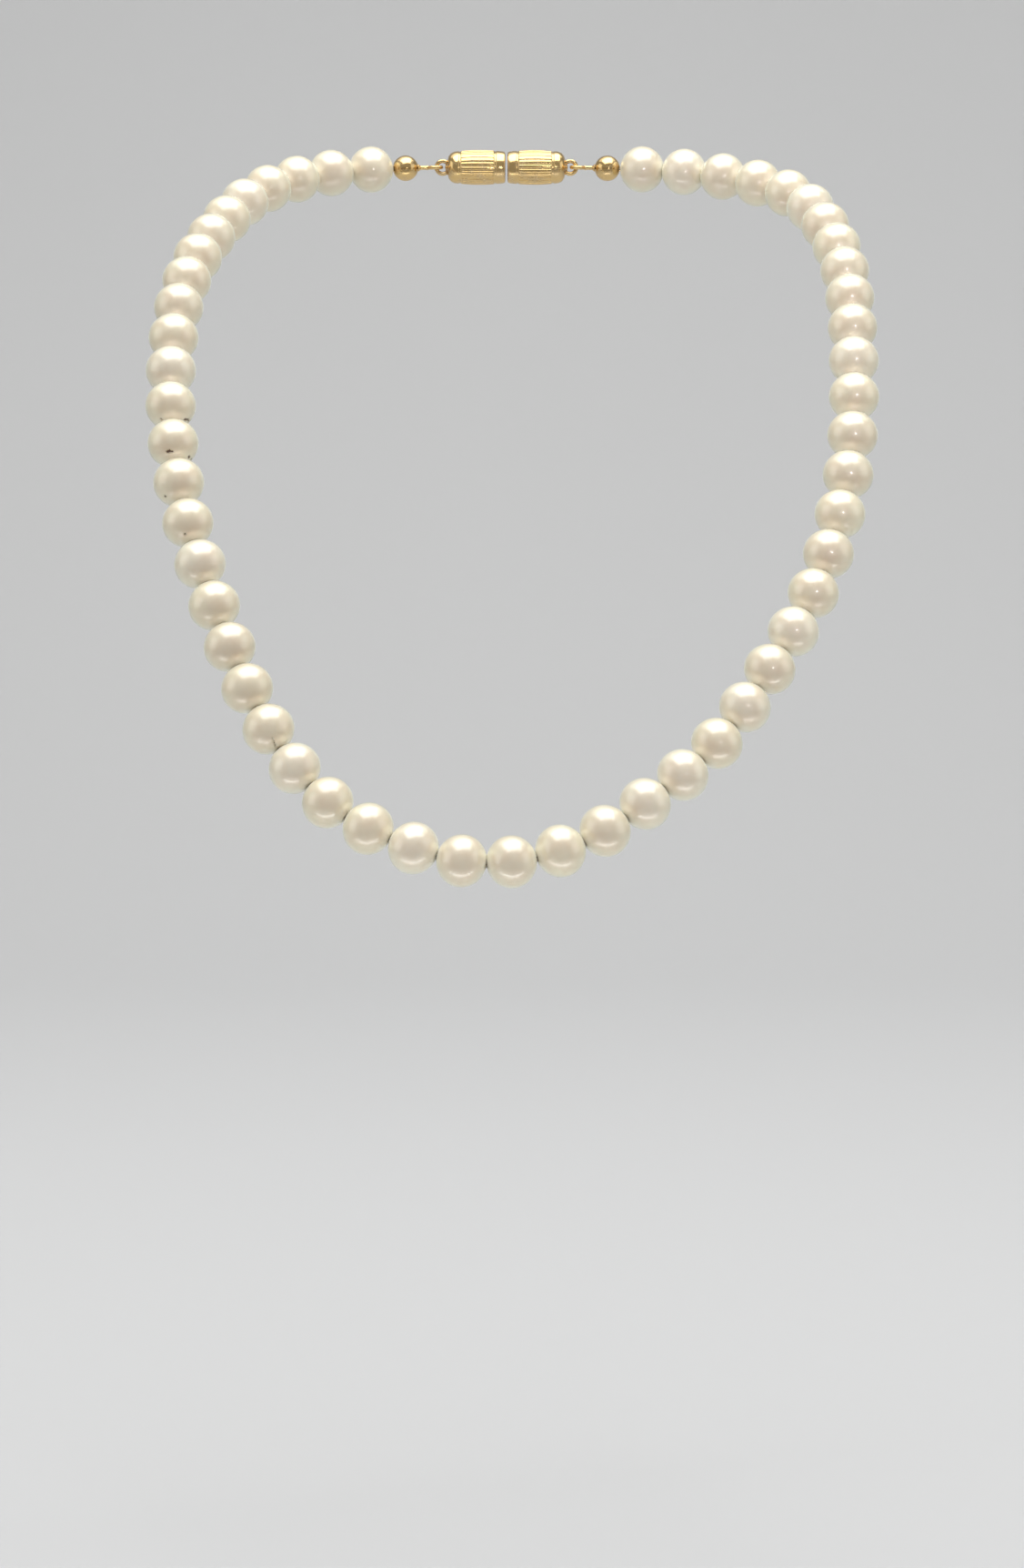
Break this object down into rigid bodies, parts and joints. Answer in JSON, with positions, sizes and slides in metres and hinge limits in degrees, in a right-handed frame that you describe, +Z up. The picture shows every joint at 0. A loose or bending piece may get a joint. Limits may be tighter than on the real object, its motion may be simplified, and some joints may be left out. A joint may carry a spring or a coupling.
{
  "type": "pearl necklace",
  "caption": "Single-strand necklace of round cream imitation pearls strung touching, with a magnetic barrel clasp, draped as worn round a neck.",
  "frame": {"origin": "on the nape, against the neck side of the closed clasp, midway between its halves", "axes": "+X to the viewer's right, +Y out of the back of the neck, +Z up; the front of the strand hangs at -Y and -Z"},
  "size_m": [0.1167, 0.1253, 0.1105],
  "materials": {
    "pearl_coating": "satin pearlescent coating",
    "thread": "twisted nylon",
    "gold_plate": "polished gold-tone plating",
    "magnet": "nickel-plated"
  },
  "bodies": {
    "clasp_half_left": {"clasp_half_left": "gold_plate", "magnet_left": "magnet", "stringing_thread": "thread"},
    "bead_tip_left": {"bead_tip_left": "gold_plate"},
    "pearl_01": {"pearl_01": "pearl_coating"},
    "pearl_02": {"pearl_02": "pearl_coating"},
    "pearl_03": {"pearl_03": "pearl_coating"},
    "pearl_04": {"pearl_04": "pearl_coating"},
    "pearl_05": {"pearl_05": "pearl_coating"},
    "pearl_06": {"pearl_06": "pearl_coating"},
    "pearl_07": {"pearl_07": "pearl_coating"},
    "pearl_08": {"pearl_08": "pearl_coating"},
    "pearl_09": {"pearl_09": "pearl_coating"},
    "pearl_10": {"pearl_10": "pearl_coating"},
    "pearl_11": {"pearl_11": "pearl_coating"},
    "pearl_12": {"pearl_12": "pearl_coating"},
    "pearl_13": {"pearl_13": "pearl_coating"},
    "pearl_14": {"pearl_14": "pearl_coating"},
    "pearl_15": {"pearl_15": "pearl_coating"},
    "pearl_16": {"pearl_16": "pearl_coating"},
    "pearl_17": {"pearl_17": "pearl_coating"},
    "pearl_18": {"pearl_18": "pearl_coating"},
    "pearl_19": {"pearl_19": "pearl_coating"},
    "pearl_20": {"pearl_20": "pearl_coating"},
    "pearl_21": {"pearl_21": "pearl_coating"},
    "pearl_22": {"pearl_22": "pearl_coating"},
    "pearl_23": {"pearl_23": "pearl_coating"},
    "pearl_24": {"pearl_24": "pearl_coating"},
    "pearl_25": {"pearl_25": "pearl_coating"},
    "pearl_26": {"pearl_26": "pearl_coating"},
    "pearl_27": {"pearl_27": "pearl_coating"},
    "pearl_28": {"pearl_28": "pearl_coating"},
    "pearl_29": {"pearl_29": "pearl_coating"},
    "pearl_30": {"pearl_30": "pearl_coating"},
    "pearl_31": {"pearl_31": "pearl_coating"},
    "pearl_32": {"pearl_32": "pearl_coating"},
    "pearl_33": {"pearl_33": "pearl_coating"},
    "pearl_34": {"pearl_34": "pearl_coating"},
    "pearl_35": {"pearl_35": "pearl_coating"},
    "pearl_36": {"pearl_36": "pearl_coating"},
    "pearl_37": {"pearl_37": "pearl_coating"},
    "pearl_38": {"pearl_38": "pearl_coating"},
    "pearl_39": {"pearl_39": "pearl_coating"},
    "pearl_40": {"pearl_40": "pearl_coating"},
    "pearl_41": {"pearl_41": "pearl_coating"},
    "pearl_42": {"pearl_42": "pearl_coating"},
    "pearl_43": {"pearl_43": "pearl_coating"},
    "pearl_44": {"pearl_44": "pearl_coating"},
    "pearl_45": {"pearl_45": "pearl_coating"},
    "pearl_46": {"pearl_46": "pearl_coating"},
    "pearl_47": {"pearl_47": "pearl_coating"},
    "pearl_48": {"pearl_48": "pearl_coating"},
    "pearl_49": {"pearl_49": "pearl_coating"},
    "pearl_50": {"pearl_50": "pearl_coating"},
    "pearl_51": {"pearl_51": "pearl_coating"},
    "pearl_52": {"pearl_52": "pearl_coating"},
    "pearl_53": {"pearl_53": "pearl_coating"},
    "bead_tip_right": {"bead_tip_right": "gold_plate"},
    "clasp_half_right": {"clasp_half_right": "gold_plate", "magnet_right": "magnet"}
  },
  "joints": [
    {"name": "clasp_swing_left", "type": "hinge", "parent": "clasp_half_left", "child": "bead_tip_left", "pos_m": [-0.01215, 0.003, 0], "axis": [0, 0, 1], "range_deg": [-40, 40], "deforming": ["stringing_thread"]},
    {"name": "pearl_01_bend", "type": "hinge", "parent": "bead_tip_left", "child": "pearl_01", "pos_m": [-0.01975, 0.00125, -0.0002], "axis": [-0.0347, 0.2598, -0.965], "range_deg": [0, 4.2], "deforming": ["stringing_thread"]},
    {"name": "pearl_02_bend", "type": "hinge", "parent": "pearl_01", "child": "pearl_02", "pos_m": [-0.02701, -0.00096, -0.00053], "axis": [-0.0253, 0.2303, -0.9728], "range_deg": [0, 18], "deforming": ["stringing_thread"]},
    {"name": "pearl_03_bend", "type": "hinge", "parent": "pearl_02", "child": "pearl_03", "pos_m": [-0.03323, -0.00525, -0.00139], "axis": [-0.0466, 0.2595, -0.9646], "range_deg": [0, 12.7], "deforming": ["stringing_thread"]},
    {"name": "pearl_04_bend", "type": "hinge", "parent": "pearl_03", "child": "pearl_04", "pos_m": [-0.03833, -0.01074, -0.00262], "axis": [-0.3183, 0.4792, -0.818], "range_deg": [0, 9.7], "deforming": ["stringing_thread"]},
    {"name": "pearl_05_bend", "type": "hinge", "parent": "pearl_04", "child": "pearl_05", "pos_m": [-0.04251, -0.01679, -0.00453], "axis": [-0.2933, 0.467, -0.8342], "range_deg": [0, 11.5], "deforming": ["stringing_thread"]},
    {"name": "pearl_06_bend", "type": "hinge", "parent": "pearl_05", "child": "pearl_06", "pos_m": [-0.04543, -0.0233, -0.00716], "axis": [-0.3143, 0.4722, -0.8236], "range_deg": [0, 4.7], "deforming": ["stringing_thread"]},
    {"name": "pearl_07_bend", "type": "hinge", "parent": "pearl_06", "child": "pearl_07", "pos_m": [-0.04779, -0.02992, -0.01005], "axis": [-0.1303, 0.4356, -0.8906], "range_deg": [0, 3.1], "deforming": ["stringing_thread"]},
    {"name": "pearl_08_bend", "type": "hinge", "parent": "pearl_07", "child": "pearl_08", "pos_m": [-0.04977, -0.03662, -0.01304], "axis": [-0.6169, 0.4651, -0.6349], "range_deg": [0, 4], "deforming": ["stringing_thread"]},
    {"name": "pearl_09_bend", "type": "hinge", "parent": "pearl_08", "child": "pearl_09", "pos_m": [-0.05135, -0.04327, -0.01637], "axis": [-0.7904, 0.4143, -0.4513], "range_deg": [0, 6], "deforming": ["stringing_thread"]},
    {"name": "pearl_10_bend", "type": "hinge", "parent": "pearl_09", "child": "pearl_10", "pos_m": [-0.05247, -0.04967, -0.0203], "axis": [-0.7486, 0.4364, -0.4992], "range_deg": [0, 5.6], "deforming": ["stringing_thread"]},
    {"name": "pearl_11_bend", "type": "hinge", "parent": "pearl_10", "child": "pearl_11", "pos_m": [-0.05309, -0.05582, -0.02473], "axis": [-0.7475, 0.4371, -0.5002], "range_deg": [0, 4.7], "deforming": ["stringing_thread"]},
    {"name": "pearl_12_bend", "type": "hinge", "parent": "pearl_11", "child": "pearl_12", "pos_m": [-0.0533, -0.06169, -0.02955], "axis": [-0.7834, 0.4107, -0.4664], "range_deg": [0, 4.4], "deforming": ["stringing_thread"]},
    {"name": "pearl_13_bend", "type": "hinge", "parent": "pearl_12", "child": "pearl_13", "pos_m": [-0.05315, -0.06727, -0.03471], "axis": [-0.8113, 0.3853, -0.4398], "range_deg": [0, 4.7], "deforming": ["stringing_thread"]},
    {"name": "pearl_14_bend", "type": "hinge", "parent": "pearl_13", "child": "pearl_14", "pos_m": [-0.05264, -0.07248, -0.04022], "axis": [-0.6764, 0.5027, -0.5383], "range_deg": [0, 4.3], "deforming": ["stringing_thread"]},
    {"name": "pearl_15_bend", "type": "hinge", "parent": "pearl_14", "child": "pearl_15", "pos_m": [-0.05171, -0.07737, -0.04596], "axis": [-0.5193, 0.6069, -0.6016], "range_deg": [0, 4.5], "deforming": ["stringing_thread"]},
    {"name": "pearl_16_bend", "type": "hinge", "parent": "pearl_15", "child": "pearl_16", "pos_m": [-0.05027, -0.08197, -0.05184], "axis": [-0.6028, 0.5504, -0.5777], "range_deg": [0, 5.1], "deforming": ["stringing_thread"]},
    {"name": "pearl_17_bend", "type": "hinge", "parent": "pearl_16", "child": "pearl_17", "pos_m": [-0.04833, -0.08617, -0.05787], "axis": [-0.4642, 0.6496, -0.6021], "range_deg": [0, 3.2], "deforming": ["stringing_thread"]},
    {"name": "pearl_18_bend", "type": "hinge", "parent": "pearl_17", "child": "pearl_18", "pos_m": [-0.04603, -0.09014, -0.06393], "axis": [-0.1015, 0.8108, -0.5764], "range_deg": [0, 3], "deforming": ["stringing_thread"]},
    {"name": "pearl_19_bend", "type": "hinge", "parent": "pearl_18", "child": "pearl_19", "pos_m": [-0.04353, -0.09409, -0.06992], "axis": [-0.109, 0.8107, -0.5752], "range_deg": [0, 3], "deforming": ["stringing_thread"]},
    {"name": "pearl_20_bend", "type": "hinge", "parent": "pearl_19", "child": "pearl_20", "pos_m": [-0.04087, -0.09796, -0.07589], "axis": [-0.1931, 0.7812, -0.5936], "range_deg": [0, 3.2], "deforming": ["stringing_thread"]},
    {"name": "pearl_21_bend", "type": "hinge", "parent": "pearl_20", "child": "pearl_21", "pos_m": [-0.03781, -0.10168, -0.08177], "axis": [-0.2177, 0.7702, -0.5995], "range_deg": [0, 5.8], "deforming": ["stringing_thread"]},
    {"name": "pearl_22_bend", "type": "hinge", "parent": "pearl_21", "child": "pearl_22", "pos_m": [-0.03409, -0.10506, -0.08747], "axis": [-0.2073, 0.7758, -0.596], "range_deg": [0, 6.9], "deforming": ["stringing_thread"]},
    {"name": "pearl_23_bend", "type": "hinge", "parent": "pearl_22", "child": "pearl_23", "pos_m": [-0.02962, -0.10801, -0.09287], "axis": [0.1418, 0.9132, -0.3821], "range_deg": [0, 12.9], "deforming": ["stringing_thread"]},
    {"name": "pearl_24_bend", "type": "hinge", "parent": "pearl_23", "child": "pearl_24", "pos_m": [-0.02392, -0.11068, -0.09712], "axis": [0.1393, 0.9124, -0.3849], "range_deg": [0, 12.4], "deforming": ["stringing_thread"]},
    {"name": "pearl_25_bend", "type": "hinge", "parent": "pearl_24", "child": "pearl_25", "pos_m": [-0.01729, -0.11294, -0.10008], "axis": [0.0315, 0.8271, -0.5612], "range_deg": [0, 6.7], "deforming": ["stringing_thread"]},
    {"name": "pearl_26_bend", "type": "hinge", "parent": "pearl_25", "child": "pearl_26", "pos_m": [-0.01028, -0.11476, -0.10237], "axis": [0.0133, 0.8021, -0.597], "range_deg": [0, 11], "deforming": ["stringing_thread"]},
    {"name": "pearl_27_bend", "type": "hinge", "parent": "pearl_26", "child": "pearl_27", "pos_m": [-0.00283, -0.11575, -0.10354], "axis": [-0.0013, 0.7577, -0.6526], "range_deg": [0, 20.8], "deforming": ["stringing_thread"]},
    {"name": "pearl_28_bend", "type": "hinge", "parent": "pearl_27", "child": "pearl_28", "pos_m": [0.00467, -0.11495, -0.10263], "axis": [0.0051, 0.7309, -0.6825], "range_deg": [0, 11.5], "deforming": ["stringing_thread"]},
    {"name": "pearl_29_bend", "type": "hinge", "parent": "pearl_28", "child": "pearl_29", "pos_m": [0.01178, -0.11315, -0.10064], "axis": [-0.0974, 0.8848, -0.4558], "range_deg": [0, 13.4], "deforming": ["stringing_thread"]},
    {"name": "pearl_30_bend", "type": "hinge", "parent": "pearl_29", "child": "pearl_30", "pos_m": [0.01809, -0.11068, -0.0972], "axis": [-0.0291, 0.8368, -0.5468], "range_deg": [0, 6.1], "deforming": ["stringing_thread"]},
    {"name": "pearl_31_bend", "type": "hinge", "parent": "pearl_30", "child": "pearl_31", "pos_m": [0.02392, -0.10787, -0.09321], "axis": [0.4769, 0.2193, -0.8511], "range_deg": [0, 3], "deforming": ["stringing_thread"]},
    {"name": "pearl_32_bend", "type": "hinge", "parent": "pearl_31", "child": "pearl_32", "pos_m": [0.02962, -0.10482, -0.08923], "axis": [-0.1528, 0.8778, -0.454], "range_deg": [0, 9.2], "deforming": ["stringing_thread"]},
    {"name": "pearl_33_bend", "type": "hinge", "parent": "pearl_32", "child": "pearl_33", "pos_m": [0.03447, -0.10148, -0.08442], "axis": [-0.1364, 0.8734, -0.4675], "range_deg": [0, 8.3], "deforming": ["stringing_thread"]},
    {"name": "pearl_34_bend", "type": "hinge", "parent": "pearl_33", "child": "pearl_34", "pos_m": [0.03844, -0.09795, -0.07898], "axis": [0.111, 0.7809, -0.6147], "range_deg": [0, 3], "deforming": ["stringing_thread"]},
    {"name": "pearl_35_bend", "type": "hinge", "parent": "pearl_34", "child": "pearl_35", "pos_m": [0.04235, -0.09427, -0.0736], "axis": [0.0976, 0.7765, -0.6225], "range_deg": [0, 3], "deforming": ["stringing_thread"]},
    {"name": "pearl_36_bend", "type": "hinge", "parent": "pearl_35", "child": "pearl_36", "pos_m": [0.04606, -0.09042, -0.0682], "axis": [0.1025, 0.7744, -0.6244], "range_deg": [0, 7], "deforming": ["stringing_thread"]},
    {"name": "pearl_37_bend", "type": "hinge", "parent": "pearl_36", "child": "pearl_37", "pos_m": [0.04895, -0.08624, -0.06255], "axis": [0.0947, 0.777, -0.6223], "range_deg": [0, 4.8], "deforming": ["stringing_thread"]},
    {"name": "pearl_38_bend", "type": "hinge", "parent": "pearl_37", "child": "pearl_38", "pos_m": [0.05124, -0.08188, -0.05676], "axis": [0.1841, 0.7489, -0.6365], "range_deg": [0, 3.7], "deforming": ["stringing_thread"]},
    {"name": "pearl_39_bend", "type": "hinge", "parent": "pearl_38", "child": "pearl_39", "pos_m": [0.05307, -0.07737, -0.05092], "axis": [0.1379, 0.7623, -0.6324], "range_deg": [0, 4.1], "deforming": ["stringing_thread"]},
    {"name": "pearl_40_bend", "type": "hinge", "parent": "pearl_39", "child": "pearl_40", "pos_m": [0.05436, -0.07273, -0.04505], "axis": [-0.0126, 0.7861, -0.618], "range_deg": [0, 4.5], "deforming": ["stringing_thread"]},
    {"name": "pearl_41_bend", "type": "hinge", "parent": "pearl_40", "child": "pearl_41", "pos_m": [0.05507, -0.06804, -0.0391], "axis": [0.7296, 0.4922, -0.4748], "range_deg": [0, 3.6], "deforming": ["stringing_thread"]},
    {"name": "pearl_42_bend", "type": "hinge", "parent": "pearl_41", "child": "pearl_42", "pos_m": [0.05545, -0.06307, -0.03337], "axis": [0.9884, 0.0763, -0.1314], "range_deg": [0, 5.5], "deforming": ["stringing_thread"]},
    {"name": "pearl_43_bend", "type": "hinge", "parent": "pearl_42", "child": "pearl_43", "pos_m": [0.05572, -0.05758, -0.02812], "axis": [0.9623, 0.1612, -0.219], "range_deg": [0, 4.7], "deforming": ["stringing_thread"]},
    {"name": "pearl_44_bend", "type": "hinge", "parent": "pearl_43", "child": "pearl_44", "pos_m": [0.05583, -0.05169, -0.02332], "axis": [0.8433, 0.3303, -0.424], "range_deg": [0, 3.8], "deforming": ["stringing_thread"]},
    {"name": "pearl_45_bend", "type": "hinge", "parent": "pearl_44", "child": "pearl_45", "pos_m": [0.05566, -0.04554, -0.01886], "axis": [0.7131, 0.4242, -0.5582], "range_deg": [0, 4.7], "deforming": ["stringing_thread"]},
    {"name": "pearl_46_bend", "type": "hinge", "parent": "pearl_45", "child": "pearl_46", "pos_m": [0.05506, -0.03916, -0.01478], "axis": [0.7435, 0.4086, -0.5294], "range_deg": [0, 6.3], "deforming": ["stringing_thread"]},
    {"name": "pearl_47_bend", "type": "hinge", "parent": "pearl_46", "child": "pearl_47", "pos_m": [0.05391, -0.03251, -0.01127], "axis": [0.4803, 0.4734, -0.7384], "range_deg": [0, 5], "deforming": ["stringing_thread"]},
    {"name": "pearl_48_bend", "type": "hinge", "parent": "pearl_47", "child": "pearl_48", "pos_m": [0.05219, -0.02583, -0.0081], "axis": [0.4293, 0.4745, -0.7685], "range_deg": [0, 6], "deforming": ["stringing_thread"]},
    {"name": "pearl_49_bend", "type": "hinge", "parent": "pearl_48", "child": "pearl_49", "pos_m": [0.04978, -0.01917, -0.00534], "axis": [0.2048, 0.4377, -0.8755], "range_deg": [0, 15.8], "deforming": ["stringing_thread"]},
    {"name": "pearl_50_bend", "type": "hinge", "parent": "pearl_49", "child": "pearl_50", "pos_m": [0.04554, -0.01318, -0.00334], "axis": [0.2335, 0.4529, -0.8604], "range_deg": [0, 11.5], "deforming": ["stringing_thread"]},
    {"name": "pearl_51_bend", "type": "hinge", "parent": "pearl_50", "child": "pearl_51", "pos_m": [0.04018, -0.00795, -0.00204], "axis": [0.0874, 0.3235, -0.9422], "range_deg": [0, 8.7], "deforming": ["stringing_thread"]},
    {"name": "pearl_52_bend", "type": "hinge", "parent": "pearl_51", "child": "pearl_52", "pos_m": [0.03408, -0.00353, -0.00108], "axis": [0.0105, 0.2244, -0.9744], "range_deg": [0, 12.4], "deforming": ["stringing_thread"]},
    {"name": "pearl_53_bend", "type": "hinge", "parent": "pearl_52", "child": "pearl_53", "pos_m": [0.02715, -0.00047, -0.00045], "axis": [0.0353, 0.2779, -0.96], "range_deg": [0, 10.8], "deforming": ["stringing_thread"]},
    {"name": "bead_tip_right_bend", "type": "hinge", "parent": "pearl_53", "child": "bead_tip_right", "pos_m": [0.01976, 0.00128, -0.00022], "axis": [0.1185, 0.6227, -0.7735], "range_deg": [0, 3], "deforming": ["stringing_thread"]},
    {"name": "clasp_swing_right", "type": "hinge", "parent": "bead_tip_right", "child": "clasp_half_right", "pos_m": [0.01215, 0.003, 0], "axis": [0, 0, 1], "range_deg": [-40, 40], "deforming": ["stringing_thread"]}
  ]
}
